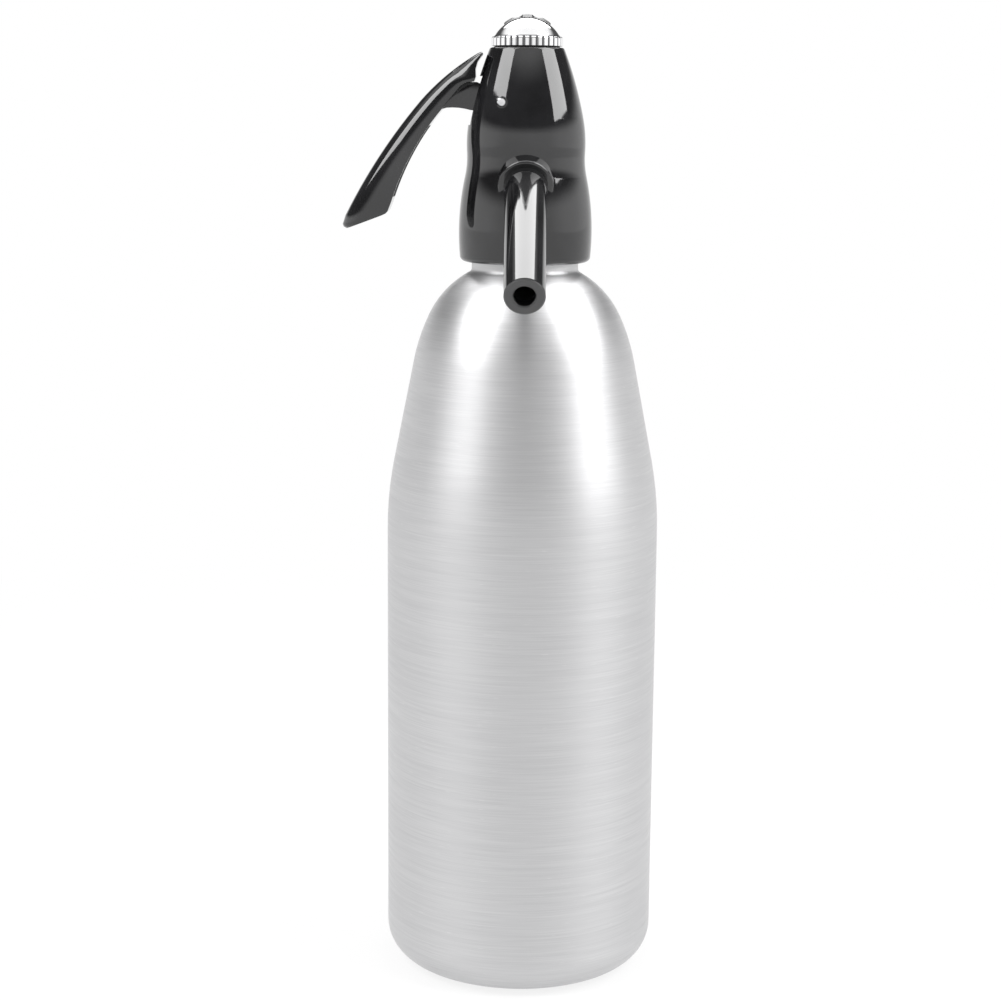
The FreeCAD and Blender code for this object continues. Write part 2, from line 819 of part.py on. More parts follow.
# Valve stem with its disc, rubber washer and lifting nut
def make_valve_stem():
    body = new_body("valve_stem")
    disc_low = seat_top + d.washer_thick
    foot = seat_top + d.stem_foot_gap
    pin = d.stem_pin_radius
    spin(body, "stem_form", [[
        (0, foot),
        (pin, foot),
        (pin, disc_low),
        (d.washer_radius, disc_low),
        (d.washer_radius, disc_low + d.disc_thick),
        (d.stem_radius, disc_low + d.disc_thick),
        (d.stem_radius, rim + d.stem_top_height),
        (0, rim + d.stem_top_height),
    ]])
    make_ring("valve_washer", "washer_ring", pin + d.fit_gap, d.washer_radius, seat_top, disc_low)
    nut = new_body("stem_nut")
    low = spring_low - d.nut_thick
    spin(nut, "nut_round", [ring_loop(d.stem_radius + d.nut_gap, d.nut_radius, low, spring_low)])


# Valve spring: one unbroken coil between the nut and the roof of the cap, in quarter turn arcs
def make_valve_spring():
    end_gap = d.wire_radius.value + d.fit_gap.value
    low = spring_low.value + end_gap
    high = cap_ceiling_z.value - end_gap
    turns = d.coil_turns.value
    coil = d.coil_radius.value
    steps = round(turns * 4)

    def on_helix(share):
        angle = 2 * math.pi * turns * share
        return FreeCAD.Vector(coil * math.cos(angle), coil * math.sin(angle), (high - low) * share)

    arcs = []
    for i in range(steps):
        arc = Part.Arc(on_helix(i / steps), on_helix((i + 0.5) / steps), on_helix((i + 1) / steps))
        arcs.append(arc.toShape())
    path = Part.Wire(arcs)
    heading = arcs[0].tangentAt(arcs[0].FirstParameter)
    section = Part.Wire(Part.makeCircle(d.wire_radius.value, on_helix(0), heading))
    spring = doc.addObject("Part::Feature", "valve_spring")
    spring.Label = "valve_spring"
    spring.Shape = path.makePipeShell([section], True, False)
    spring.Placement = FreeCAD.Placement(FreeCAD.Vector(0, 0, low), FreeCAD.Rotation())


# Top cap: chromed screw cap with a fluted grip ring and a low dome
def make_top_cap():
    body = new_body("top_cap")
    ring = nose_radius(head_top) - d.cap_inset
    ring_top = cap_low + d.cap_ring_height
    dome = ring - d.cap_dome_inset
    dome_radius = (dome * dome + d.cap_dome_height * d.cap_dome_height) / (2 * d.cap_dome_height)
    inner = d.cap_skirt_radius - d.cap_skirt_wall
    skirt_low = head_top - d.cap_skirt_length
    spin(body, "cap_form", [[
        (inner, skirt_low),
        (d.cap_skirt_radius, skirt_low),
        (d.cap_skirt_radius, cap_low),
        (ring, cap_low),
        (ring, ring_top - d.cap_ring_round),
        (ring - d.cap_ring_round, ring_top, d.cap_ring_round),
        (dome, ring_top),
        (0, ring_top + d.cap_dome_height, dome_radius),
        (0, cap_ceiling_z),
        (inner, cap_ceiling_z),
    ]])
    flute = round_bar(body, "flute", "Subtractive", d.flute_radius, cap_low - cut_past, ring_top + cut_past)
    bind(flute, "AttachmentOffset.Base.x", ring + d.flute_shift)
    polar(body, "flutes", flute, d.flute_count)
    make_ring("cap_seal", "cap_seal_ring", d.cap_skirt_radius + d.cap_gap, ring - d.cap_seal_inset,
              head_top, cap_low)


# Lever: hub and fork on the pin, a narrow arm and a curved paddle hollowed on its inner side.
# Its outline is given from the pivot, and it rests with its upper tip close to the head.
def make_lever():
    body = new_body("lever")

    def at(x, z, *radius):
        return (x - d.pivot_offset, pivot_z + z) + radius

    paddle = outline(body, "paddle_outline", "XZ_Plane", [[
        at(-37.6, -35.7),
        at(-35.9, -33.6, 1.8),
        at(-19.2, -2.3, -d.lever_inner_sweep),
        at(-17.5, 0.3),
        at(-12.4, 6.5),
        at(-8.0, 6.5),
        at(-6.35, 14.5, -7.6),
        at(-8.6, 15.55, 1.3),
        at(-26.2, 0.5, d.lever_upper_sweep),
        at(-51.9, -38.9, d.lever_back_sweep),
        at(-49.3, -40.9, 1.7),
    ]])
    slab(body, "paddle", "Pad", paddle, d.lever_width)
    hollow = outline(body, "hollow_outline", "XZ_Plane", [[
        at(-17.0, -6.0),
        at(-24.3, -1.9),
        at(-31.9, -10.6, d.lever_upper_sweep),
        at(-46.9, -35.0, d.lever_back_sweep),
        at(-47.2, -37.8),
        at(-37.0, -33.3),
        at(-30.0, -33.0),
    ]])
    slab(body, "hollow", "Pocket", hollow, d.lever_width - 2 * d.lever_wall)
    arm = outline(body, "arm_outline", "XZ_Plane", [[
        at(-20.0, -2.9),
        at(-17.8, -1.6, -4),
        at(-10.0, -2.6, -22),
        at(-1.5, -3.2),
        at(-1.5, 3.2),
        at(-8.0, 6.5),
        at(-14.0, 6.9),
        at(-22.0, -0.5),
    ]])
    slab(body, "arm", "Pad", arm, d.hub_width)
    cross_bar(body, "hub", "Additive", d.hub_radius, d.hub_width)
    inside = d.finger_gap / 2
    finger_half = inside + d.finger_thick
    space = d.stem_radius + d.finger_space
    nose = cross_bar(body, "finger_nose", "Additive", d.finger_nose, finger_half * 2)
    bind(nose, "AttachmentOffset.Base.x", 0)
    block(body, "fingers", "Additive",
          (-d.pivot_offset, -finger_half, pivot_z - d.finger_nose),
          (0, finger_half, pivot_z + d.finger_nose))
    block(body, "finger_space", "Subtractive",
          (-space, -inside, pivot_z - space),
          (space, inside, pivot_z + space))
    cross_hole(body, "pin_bore", d.pin_radius + d.pin_gap, d.lever_width * 2)


def slab(body, name, kind, sketch, width):
    feature = body.newObject("PartDesign::" + kind, name)
    feature.Profile = sketch
    feature.SideType = "Symmetric"
    bind(feature, "Length", width)
    doc.recompute()
    return feature


# Lever pin: plain steel pin held in both walls of the head
def make_lever_pin():
    body = new_body("lever_pin")
    cross_bar(body, "pin_round", "Additive", d.pin_radius, pin_half_length() * 2)
    round_edges(body, "pin_ends", d.pin_chamfer,
                lambda e: abs(e.BoundBox.YMin - e.BoundBox.YMax) < 1e-4, "Chamfer")


# Spout: inner steel pipe and a glossy tapered cover with its own end wall
def make_spout():
    pipe = new_body("spout_pipe")
    lip = d.spout_end - d.spout_lip
    spin(pipe, "pipe_wall", [ring_loop(d.pipe_bore, d.pipe_radius, d.pipe_start, lip)])
    lean_body(pipe, spout_z, spout_lean)
    cover = new_body("spout_cover")
    bore = d.pipe_radius + d.fit_gap
    spin(cover, "cover_wall", [[
        (bore, d.spout_start),
        (d.spout_root_radius, d.spout_start),
        (d.spout_root_radius, d.spout_boss_end),
        (d.spout_end_radius, d.spout_end - d.spout_edge),
        (d.spout_end_radius - d.spout_edge, d.spout_end),
        (d.pipe_bore + d.spout_edge, d.spout_end),
        (d.pipe_bore, d.spout_end - d.spout_edge),
        (d.pipe_bore, lip),
        (bore, lip),
    ]])
    lean_body(cover, spout_z, spout_lean)


# Charging inlet: nipple, its check valve, piercing pin and gasket
nipple_end = d.inlet_boss_end + d.nipple_length
pocket_low = nipple_end - d.nipple_pocket_depth
pin_seat_low = pocket_low - d.pin_seat_thick
check_low = pin_seat_low - d.check_length


def make_inlet():
    nipple = new_body("inlet_nipple")
    fit = d.fit_gap
    spin(nipple, "nipple_form", [[
        (d.gas_bore, d.spigot_start),
        (d.spigot_radius, d.spigot_start),
        (d.spigot_radius, d.inlet_boss_end),
        (d.nipple_radius, d.inlet_boss_end),
        (d.nipple_radius, nipple_end - d.nipple_chamfer),
        (d.nipple_radius - d.nipple_chamfer, nipple_end),
        (d.nipple_pocket_radius, nipple_end),
        (d.nipple_pocket_radius, pocket_low),
        (d.pin_seat_radius + fit, pocket_low),
        (d.pin_seat_radius + fit, pin_seat_low),
        (d.check_radius + fit, pin_seat_low),
        (d.check_radius + fit, check_low),
        (d.gas_bore, check_low),
    ]])
    check = new_body("check_valve")
    slit = d.needle_slit
    foot = check_low + d.check_foot_gap
    lip = pin_seat_low - d.check_lip
    spin(check, "check_form", [[
        (slit, foot),
        (d.check_radius * 0.5, foot),
        (d.check_radius * 0.75, lip),
        (d.check_radius, lip),
        (d.check_radius, pin_seat_low),
        (slit, pin_seat_low),
    ]])
    needle = new_body("piercing_pin")
    tip = pocket_low + d.needle_length
    spin(needle, "needle_form", [[
        (slit, pin_seat_low),
        (d.pin_seat_radius, pin_seat_low),
        (d.pin_seat_radius, pocket_low),
        (d.needle_radius, pocket_low),
        (d.needle_radius, tip - d.needle_point),
        (slit + d.needle_edge, tip),
        (slit, tip),
    ]])
    gasket = new_body("inlet_gasket")
    spin(gasket, "inlet_gasket_ring", [ring_loop(
        d.needle_radius + d.gasket_bore_gap, d.nipple_pocket_radius - fit,
        pocket_low, pocket_low + d.gasket_thick)])
    for body in (nipple, check, needle, gasket):
        lean_body(body, inlet_z, inlet_lean)


# Charger: small steel gas cylinder, pierced at its neck
charger_low = pocket_low + d.gasket_thick + d.charger_seat_gap
charger_high = charger_low + d.charger_length
pad_low = charger_high + d.charger_gap
holder_high = pad_low + d.pad_thick + d.holder_floor


def make_charger():
    body = new_body("charger")
    pierced = d.needle_radius + d.charger_gap
    neck_top = charger_low + d.charger_neck_length
    flare = d.charger_radius - d.charger_neck
    spin(body, "charger_form", [[
        (pierced, charger_low),
        (d.charger_neck, charger_low),
        (d.charger_neck, neck_top),
        (d.charger_radius, neck_top + flare, -flare),
        (d.charger_radius, charger_high - d.charger_radius),
        (0, charger_high, d.charger_radius),
        (0, charger_low + d.needle_length),
        (pierced, charger_low + d.needle_length),
    ]])
    lean_body(body, inlet_z, inlet_lean)


# Charger holder: threaded sleeve with a lobed grip, and the pad that presses on the charger
def make_charger_holder():
    body = new_body("charger_holder")
    mouth = d.nipple_radius + d.thread_gap
    chamber = d.charger_radius + d.charger_gap
    low = d.inlet_boss_end + d.holder_start_gap
    outer = chamber + d.holder_wall
    grip = outer + d.lobe_rise
    grip_low = holder_high - d.grip_length
    spin(body, "holder_form", [[
        (mouth, low),
        (outer - d.holder_mouth_edge, low),
        (outer, low + d.holder_mouth_edge),
        (outer, grip_low - d.lobe_rise * 2),
        (grip, grip_low),
        (grip, holder_high - d.holder_end_round),
        (grip - d.holder_end_round, holder_high, d.holder_end_round),
        (0, holder_high),
        (0, holder_high - d.holder_floor),
        (chamber, holder_high - d.holder_floor),
        (chamber, nipple_end + d.holder_mouth_relief),
        (mouth, nipple_end + d.holder_mouth_relief),
    ]])
    hollow = round_bar(body, "lobe_hollow", "Subtractive", d.lobe_hollow,
                       grip_low - d.lobe_runout, holder_high + cut_past)
    bind(hollow, "AttachmentOffset.Base.x", grip + d.lobe_hollow - d.lobe_depth)
    polar(body, "lobes", hollow, d.lobe_count)
    lean_body(body, inlet_z, inlet_lean)
    pad = new_body("holder_pad")
    spin(pad, "pad_disc", [[
        (0, pad_low),
        (d.pad_radius, pad_low),
        (d.pad_radius, pad_low + d.pad_thick),
        (0, pad_low + d.pad_thick),
    ]])
    lean_body(pad, inlet_z, inlet_lean)


make_bottle()
make_measuring_tube()
make_siphon_tube()
make_head_gasket()
make_thread_insert()
make_head_shell()
make_valve_body()
make_seals()
make_gland_nut()
make_valve_stem()
make_valve_spring()
make_top_cap()
make_lever()
make_lever_pin()
make_spout()
make_inlet()
make_charger()
make_charger_holder()
doc.recompute()


# Check every object and write each piece
pieces = [o for o in doc.Objects if o.TypeId in ("PartDesign::Body", "Part::Feature")]
for thing in doc.Objects:
    if "Invalid" in thing.State or "Error" in thing.State:
        raise RuntimeError(f"{thing.Label} is not valid: {thing.State}")
for piece in pieces:
    if piece.Shape.isNull() or not piece.Shape.isValid() or not piece.Shape.Solids:
        raise RuntimeError(f"{piece.Label} has no valid solid")

os.makedirs("parts", exist_ok=True)
for piece in pieces:
    piece.Shape.exportStep(f"parts/{piece.Label}.step")
    print(piece.Label, len(piece.Shape.Solids), round(piece.Shape.Volume, 1))
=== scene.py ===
import math

import bmesh
import bpy
from mathutils import Matrix, Vector


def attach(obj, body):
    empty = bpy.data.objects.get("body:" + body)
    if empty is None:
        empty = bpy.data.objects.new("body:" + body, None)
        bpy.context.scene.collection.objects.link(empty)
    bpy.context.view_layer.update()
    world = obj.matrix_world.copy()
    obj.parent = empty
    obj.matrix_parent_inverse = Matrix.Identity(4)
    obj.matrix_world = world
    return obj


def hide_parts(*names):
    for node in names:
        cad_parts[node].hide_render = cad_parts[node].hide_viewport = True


# Soda siphon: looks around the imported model. Metres, +Z up, spout along -Y, lever along -X.

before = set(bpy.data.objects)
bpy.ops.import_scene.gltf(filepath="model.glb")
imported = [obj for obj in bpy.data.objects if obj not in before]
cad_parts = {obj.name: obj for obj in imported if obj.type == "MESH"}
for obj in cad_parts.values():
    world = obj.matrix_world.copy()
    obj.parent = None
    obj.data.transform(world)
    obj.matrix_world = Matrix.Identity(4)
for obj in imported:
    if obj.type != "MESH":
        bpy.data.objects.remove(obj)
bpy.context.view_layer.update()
mm = 0.001
print("model loaded:", len(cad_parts), "pieces")


# Materials

class Signal:
    # one value or colour on its way through a material
    def __init__(self, finish, socket):
        self.finish = finish
        self.socket = socket

    def join(self, operation, first, second):
        return self.finish.add("ShaderNodeMath", {"operation": operation}, {0: first, 1: second})

    def __add__(self, other):
        return self.join("ADD", self, other)

    def __radd__(self, other):
        return self.join("ADD", other, self)

    def __sub__(self, other):
        return self.join("SUBTRACT", self, other)

    def __rsub__(self, other):
        return self.join("SUBTRACT", other, self)

    def __mul__(self, other):
        return self.join("MULTIPLY", self, other)

    def __rmul__(self, other):
        return self.join("MULTIPLY", other, self)

    def __truediv__(self, other):
        return self.join("DIVIDE", self, other)

    def __pow__(self, other):
        return self.join("POWER", self, other)

    def most(self, other):
        return self.join("MAXIMUM", self, other)


class Finish:
    # a material or world under construction, with its one way of adding nodes
    def __init__(self, tree):
        self.tree = tree

    def add(self, kind, settings, inputs, output=0):
        node = self.tree.nodes.new(kind)
        for name, value in settings.items():
            setattr(node, name, value)
        for name, value in inputs.items():
            if isinstance(value, Signal):
                self.tree.links.new(value.socket, node.inputs[name])
            else:
                node.inputs[name].default_value = value
        return Signal(self, node.outputs[output]) if len(node.outputs) else None

    def place(self, centre=(0, 0, 0)):
        # object coordinates as x, y and z, counted from a centre
        spot = self.add("ShaderNodeTexCoord", {}, {}, "Object")
        moved = self.add("ShaderNodeVectorMath", {"operation": "SUBTRACT"}, {0: spot, 1: centre})
        parts = [self.add("ShaderNodeSeparateXYZ", {}, {0: moved}, axis) for axis in "XYZ"]
        return moved, parts

    def vector(self, x, y, z):
        return self.add("ShaderNodeCombineXYZ", {}, {0: x, 1: y, 2: z})

    def noise(self, vector, scale, detail=3.0, roughness=0.5):
        values = {"Vector": vector, "Scale": scale, "Detail": detail, "Roughness": roughness}
        return self.add("ShaderNodeTexNoise", {}, values, "Fac")

    def remap(self, value, low, high, newLow, newHigh):
        values = {"Value": value, "From Min": low, "From Max": high, "To Min": newLow, "To Max": newHigh}
        return self.add("ShaderNodeMapRange", {"interpolation_type": "SMOOTHSTEP"}, values)

    def blend(self, share, first, second):
        # the RGBA sockets of a Mix node are inputs 6 and 7 and output 2
        first, second = [c if isinstance(c, Signal) else (*c, 1) for c in (first, second)]
        return self.add("ShaderNodeMix", {"data_type": "RGBA"}, {0: share, 6: first, 7: second}, 2)

    def bump(self, height, distance, strength=1.0):
        values = {"Strength": strength, "Distance": distance, "Height": height}
        return self.add("ShaderNodeBump", {}, values)

    def around(self, x, y):
        return (x * x + y * y) ** 0.5      # distance from the upright axis


def startMaterial(name):
    material = bpy.data.materials.new(name)
    material.use_nodes = True
    material.node_tree.nodes.clear()
    return material, Finish(material.node_tree)


def newFinish(name, recipe):
    material, finish = startMaterial(name)
    surface = finish.add("ShaderNodeBsdfPrincipled", {}, recipe(finish))
    finish.add("ShaderNodeOutputMaterial", {}, {"Surface": surface})
    return material


# Brushing round the bottle: its streaks run round and change quickly with height. The scales count
# noise cells round the bottle and per metre of height.
brushing = {
    "shade": (0.66, 0.66, 0.665),
    "darkShade": (0.50, 0.50, 0.51),
    "roughness": 0.45,
    "anisotropy": 0.6,
    "anisotropyTurn": 0.25,      # a quarter turn, because the streaks run along the tangent
    "fineScale": (2.2, 5200.0),
    "coarseScale": (1.1, 832.0),
    "scratchScale": (9.0, 1500.0),
    "scratchRange": (0.70, 0.78),
    "mottleScale": 26.0,
    "streakTone": 0.45,
    "mottleTone": 0.25,
    "scratchTone": 0.2,
    "fineHeight": 0.25,
    "coarseHeight": 0.35,
    "scratchHeight": 0.5,
    "threadHeight": 14.0,
    "bumpDepth": 0.03 * mm,
    "bumpStrength": 0.35,
    "threadPitch": 2.5 * mm,
    "threadLow": 238.5 * mm,
    "threadHigh": 249.2 * mm,
    "threadRunout": 1.0 * mm,
}


def brushedAluminium(finish):
    b = brushing
    spot, (x, y, z) = finish.place()
    radius = finish.around(x, y) + 0.1 * mm

    def streak(scale, detail):
        aroundScale, upScale = scale
        line = finish.vector(x / radius * aroundScale, y / radius * aroundScale, z * upScale)
        return finish.noise(line, 1.0, detail)

    fine = streak(b["fineScale"], 2.0)
    coarse = streak(b["coarseScale"], 3.0)
    scratch = finish.remap(streak(b["scratchScale"], 1.0), *b["scratchRange"], 0.0, 1.0)
    mottle = finish.noise(spot, b["mottleScale"], 4.0)

    # the neck's thread
    angle = finish.add("ShaderNodeMath", {"operation": "ARCTAN2"}, {0: y, 1: x})
    turns = z / b["threadPitch"] - angle / (2 * math.pi)
    wave = finish.add("ShaderNodeMath", {"operation": "PINGPONG"}, {0: turns, 1: 0.5})
    low, high, runout = b["threadLow"], b["threadHigh"], b["threadRunout"]
    onNeck = finish.remap(z, low, low + runout, 0.0, 1.0) * finish.remap(z, high - runout, high, 1.0, 0.0)

    tone = finish.remap(fine * 0.6 + coarse * 0.4, 0.3, 0.7, 0.0, 1.0) * b["streakTone"]
    tone = tone + mottle * b["mottleTone"] - scratch * b["scratchTone"]
    height = fine * b["fineHeight"] + coarse * b["coarseHeight"] + scratch * b["scratchHeight"]
    height = height + wave * onNeck * b["threadHeight"]
    rough = b["roughness"] + (fine - 0.5) * 0.10 + (mottle - 0.5) * 0.06 - scratch * 0.05
    return {
        "Base Color": finish.blend(tone, b["shade"], b["darkShade"]),
        "Metallic": 1.0,
        "Roughness": rough,
        "Anisotropic": b["anisotropy"],
        "Anisotropic Rotation": b["anisotropyTurn"],
        "Normal": finish.bump(height, b["bumpDepth"], b["bumpStrength"]),
    }


# The slanting axes of inlet and spout: a point on each and its direction
riseAngle = math.radians(28.0)
fallAngle = math.radians(26.0)
upright = {"root": (0.0, 0.0, 0.0), "line": (0.0, 0.0, 1.0)}
inletAxis = {"root": (0.0, 0.0, 261.0 * mm), "line": (0.0, math.cos(riseAngle), math.sin(riseAngle))}
spoutAxis = {"root": (0.0, 0.0, 271.75 * mm), "line": (0.0, -math.cos(fallAngle), -math.sin(fallAngle))}

# Turned or drawn metal: fine rings about an axis, and a little tarnish. rings is per metre along it.
steel = {"shade": (0.62, 0.62, 0.63), "dark": (0.42, 0.42, 0.44), "roughness": 0.24}
metals = {
    "turnedAluminium": {"shade": (0.74, 0.74, 0.75), "dark": (0.55, 0.55, 0.57), "roughness": 0.30},
    "satinSteel": steel,
    "spoutSteel": {**steel, "axis": spoutAxis},
    "inletSteel": {**steel, "axis": inletAxis},
    "pinSteel": {"shade": (0.78, 0.78, 0.79), "dark": (0.50, 0.50, 0.52), "roughness": 0.22, "rings": 900.0},
    "chargerSteel": {"shade": (0.66, 0.67, 0.69), "dark": (0.50, 0.51, 0.54), "roughness": 0.34,
                     "rings": 1200.0, "axis": inletAxis, "depth": 0.02 * mm},
    "turnedBrass": {"shade": (0.80, 0.60, 0.28), "dark": (0.55, 0.38, 0.16), "roughness": 0.26},
}


def turnedMetal(shade, dark, roughness, rings=3500.0, axis=upright, depth=0.01 * mm):
    def recipe(finish):
        spot, (x, y, z) = finish.place(axis["root"])
        along = y * axis["line"][1] + z * axis["line"][2]
        ring = finish.noise(finish.vector(x * 8.0, y * 8.0, along * rings), 1.0, 2.0)
        stain = finish.noise(spot, 220.0, 4.0)
        tone = finish.remap(stain, 0.42, 0.75, 0.0, 1.0) * 0.5 + (ring - 0.5) * 0.3
        return {
            "Base Color": finish.blend(tone, shade, dark),
            "Metallic": 1.0,
            "Roughness": roughness + (ring - 0.5) * 0.12 + (stain - 0.5) * 0.10,
            "Normal": finish.bump(ring, depth, 0.5),
        }
    return recipe


# Chrome, with painted shade darkening the grooves between the ribs of the cap's grip ring
chrome = {
    "shade": (0.90, 0.90, 0.905),
    "film": (0.74, 0.75, 0.77),
    # painted shade: near-black base colour for the grooves between the ribs of the grip ring
    "paintedGrooveShade": (0.10, 0.10, 0.105),
    "roughness": 0.08,
    "hazeScale": 160.0,
    "peelScale": 700.0,
    "bumpDepth": 0.006 * mm,
    "grooveFloor": 11.15 * mm,
    "grooveTop": 11.50 * mm,
    "ringLow": 306.2 * mm,
    "ringHigh": 309.6 * mm,
    "ringFade": 0.1 * mm,
}


def polishedChrome(finish):
    c = chrome
    spot, (x, y, z) = finish.place()
    haze = finish.noise(spot, c["hazeScale"], 4.0)
    peel = finish.noise(spot, c["peelScale"], 2.0)
    ring = finish.remap(z, c["ringLow"] - c["ringFade"], c["ringLow"], 0.0, 1.0)
    ring = ring * finish.remap(z, c["ringHigh"], c["ringHigh"] + c["ringFade"], 1.0, 0.0)
    # painted shade: inside the ring's height, below the groove-top radius, the chrome takes the near-black
    # colour and is rougher
    paintedGrooveShade = ring * finish.remap(finish.around(x, y), c["grooveFloor"], c["grooveTop"], 1.0, 0.0)
    shade = finish.blend(finish.remap(haze, 0.45, 0.8, 0.0, 0.6), c["shade"], c["film"])
    return {
        "Base Color": finish.blend(paintedGrooveShade, shade, c["paintedGrooveShade"]),
        "Metallic": 1.0,
        "Roughness": c["roughness"] + haze * 0.05 + paintedGrooveShade * 0.2,
        "Normal": finish.bump(peel, c["bumpDepth"], 0.4),
    }


# Glossy moulded plastic, with faint flow marks, a parting line and a duller end face on the spout
gloss = {
    "shade": (0.0065, 0.0065, 0.007),
    "paleShade": (0.013, 0.013, 0.014),
    "endShade": (0.034, 0.034, 0.035),
    "roughness": 0.055,
    "endRoughness": 0.42,
    "specular": 0.80,
    "flowScale": 55.0,
    "peelScale": 420.0,
    "speckScale": 2600.0,
    "speckRange": (0.72, 0.82),
    "endGrainScale": 2500.0,
    "partingHalf": 0.10 * mm,
    "endRange": (88.55 * mm, 88.70 * mm),      # along the spout's axis, just short of its end face
    "bumpDepth": 0.01 * mm,
    "bumpStrength": 0.35,
}


def glossPlastic(partingLine=False, spoutEnd=False):
    def recipe(finish):
        g = gloss
        spot, (x, y, z) = finish.place()
        flow = finish.noise(spot, g["flowScale"], 3.0)
        peel = finish.noise(spot, g["peelScale"], 2.0)
        specks = finish.remap(finish.noise(spot, g["speckScale"], 1.0), *g["speckRange"], 0.0, 1.0)
        shade = finish.blend(finish.remap(flow, 0.35, 0.7, 0.0, 1.0), g["shade"], g["paleShade"])
        rough = g["roughness"] + (flow - 0.5) * 0.03 + specks * 0.08
        height = peel * 0.4 + specks * 0.15
        if partingLine:
            aside = finish.add("ShaderNodeMath", {"operation": "ABSOLUTE"}, {0: x})
            line = finish.remap(aside, 0.0, g["partingHalf"], 1.0, 0.0)
            height = height + line * 2.0
            rough = rough + line * 0.10
        if spoutEnd:
            rootZ = spoutAxis["root"][2]
            along = y * spoutAxis["line"][1] + (z - rootZ) * spoutAxis["line"][2]
            end = finish.remap(along, *g["endRange"], 0.0, 1.0)
            shade = finish.blend(end, shade, g["endShade"])
            rough = rough + end * (g["endRoughness"] - g["roughness"])
            height = height + end * finish.noise(spot, g["endGrainScale"], 3.0) * 2.0
        return {
            "Base Color": shade,
            "Roughness": rough,
            "Specular IOR Level": g["specular"],
            "Normal": finish.bump(height, g["bumpDepth"], g["bumpStrength"]),
        }
    return recipe


# The charger holder's dull plastic with a fine grain
holderLook = {
    "shade": (0.018, 0.018, 0.019),
    "paleShade": (0.034, 0.034, 0.035),
    "roughness": 0.40,
    "specular": 0.5,
    "grainScale": 1800.0,
    "patchScale": 90.0,
    "bumpDepth": 0.05 * mm,
}


def grainPlastic(finish):
    h = holderLook
    spot, parts = finish.place()
    grain = finish.noise(spot, h["grainScale"], 3.0, 0.6)
    patches = finish.noise(spot, h["patchScale"], 3.0)
    return {
        "Base Color": finish.blend(patches, h["shade"], h["paleShade"]),
        "Roughness": h["roughness"] + (grain - 0.5) * 0.2,
        "Specular IOR Level": h["specular"],
        "Normal": finish.bump(grain, h["bumpDepth"], 0.8),
    }


# Seals and washers: matt rubber with a pale bloom
rubbers = {
    "blackRubber": {"shade": (0.018, 0.018, 0.018), "bloomShade": (0.040, 0.040, 0.042)},
    "greyRubber": {"shade": (0.22, 0.22, 0.21), "bloomShade": (0.34, 0.34, 0.33)},
}


def softRubber(shade, bloomShade):
    def recipe(finish):
        spot, parts = finish.place()
        skin = finish.noise(spot, 1400.0, 3.0)
        bloom = finish.remap(finish.noise(spot, 180.0, 4.0), 0.4, 0.75, 0.0, 1.0)
        return {
            "Base Color": finish.blend(bloom, shade, bloomShade),
            "Roughness": 0.62 + (skin - 0.5) * 0.2,
            "Normal": finish.bump(skin, 0.03 * mm, 0.6),
        }
    return recipe


# The measuring tube's milky plastic, drawn lengthwise
milky = {
    "shade": (0.86, 0.87, 0.88),
    "darkShade": (0.72, 0.74, 0.76),
    "roughness": 0.32,
    "glowDepth": 4.0 * mm,
}


def milkyPlastic(finish):
    m = milky
    spot, (x, y, z) = finish.place()
    flow = finish.noise(finish.vector(x * 40.0, y * 40.0, z * 160.0), 1.0, 3.0)
    return {
        "Base Color": finish.blend(flow, m["shade"], m["darkShade"]),
        "Roughness": m["roughness"] + (flow - 0.5) * 0.2,
        "Subsurface Weight": 0.3,
        "Subsurface Radius": (m["glowDepth"], m["glowDepth"], m["glowDepth"]),
        "Normal": finish.bump(flow, 0.02 * mm, 0.5),
    }


recipes = {
    "brushedAluminium": brushedAluminium,
    "polishedChrome": polishedChrome,
    "headPlastic": glossPlastic(partingLine=True),
    "leverPlastic": glossPlastic(),
    "spoutPlastic": glossPlastic(spoutEnd=True),
    "grainPlastic": grainPlastic,
    "milkyPlastic": milkyPlastic,
}
recipes.update({name: turnedMetal(**look) for name, look in metals.items()})
recipes.update({name: softRubber(**look) for name, look in rubbers.items()})
finishes = {name: newFinish(name, recipe) for name, recipe in recipes.items()}

nodeFinish = {
    "bottle": "brushedAluminium",
    "measuring_tube": "milkyPlastic",
    "siphon_tube": "satinSteel",
    "head_gasket": "greyRubber",
    "thread_insert": "turnedAluminium",
    "head_shell": "headPlastic",
    "valve_body": "turnedAluminium",
    "tube_seal": "blackRubber",
    "stem_seal": "blackRubber",
    "spout_seal": "blackRubber",
    "gland_nut": "turnedBrass",
    "valve_stem": "satinSteel",
    "valve_washer": "greyRubber",
    "stem_nut": "turnedBrass",
    "valve_spring": "satinSteel",
    "top_cap": "polishedChrome",
    "cap_seal": "blackRubber",
    "lever": "leverPlastic",
    "lever_pin": "pinSteel",
    "spout_pipe": "spoutSteel",
    "spout_cover": "spoutPlastic",
    "inlet_nipple": "polishedChrome",
    "check_valve": "greyRubber",
    "piercing_pin": "inletSteel",
    "inlet_gasket": "blackRubber",
    "charger": "chargerSteel",
    "charger_holder": "grainPlastic",
    "holder_pad": "greyRubber",
}
for nodeName, finishName in nodeFinish.items():
    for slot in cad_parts[nodeName].material_slots:
        slot.material = finishes[finishName]
print("finishes on", len(nodeFinish), "nodes")


# Modelling helpers

def clearSelection():
    if bpy.context.object and bpy.context.object.mode != "OBJECT":
        bpy.ops.object.mode_set(mode="OBJECT")
    bpy.ops.object.select_all(action="DESELECT")


def polarPoint(centre, radius, angle):
    return (centre[0] + radius * math.cos(angle), centre[1] + radius * math.sin(angle))


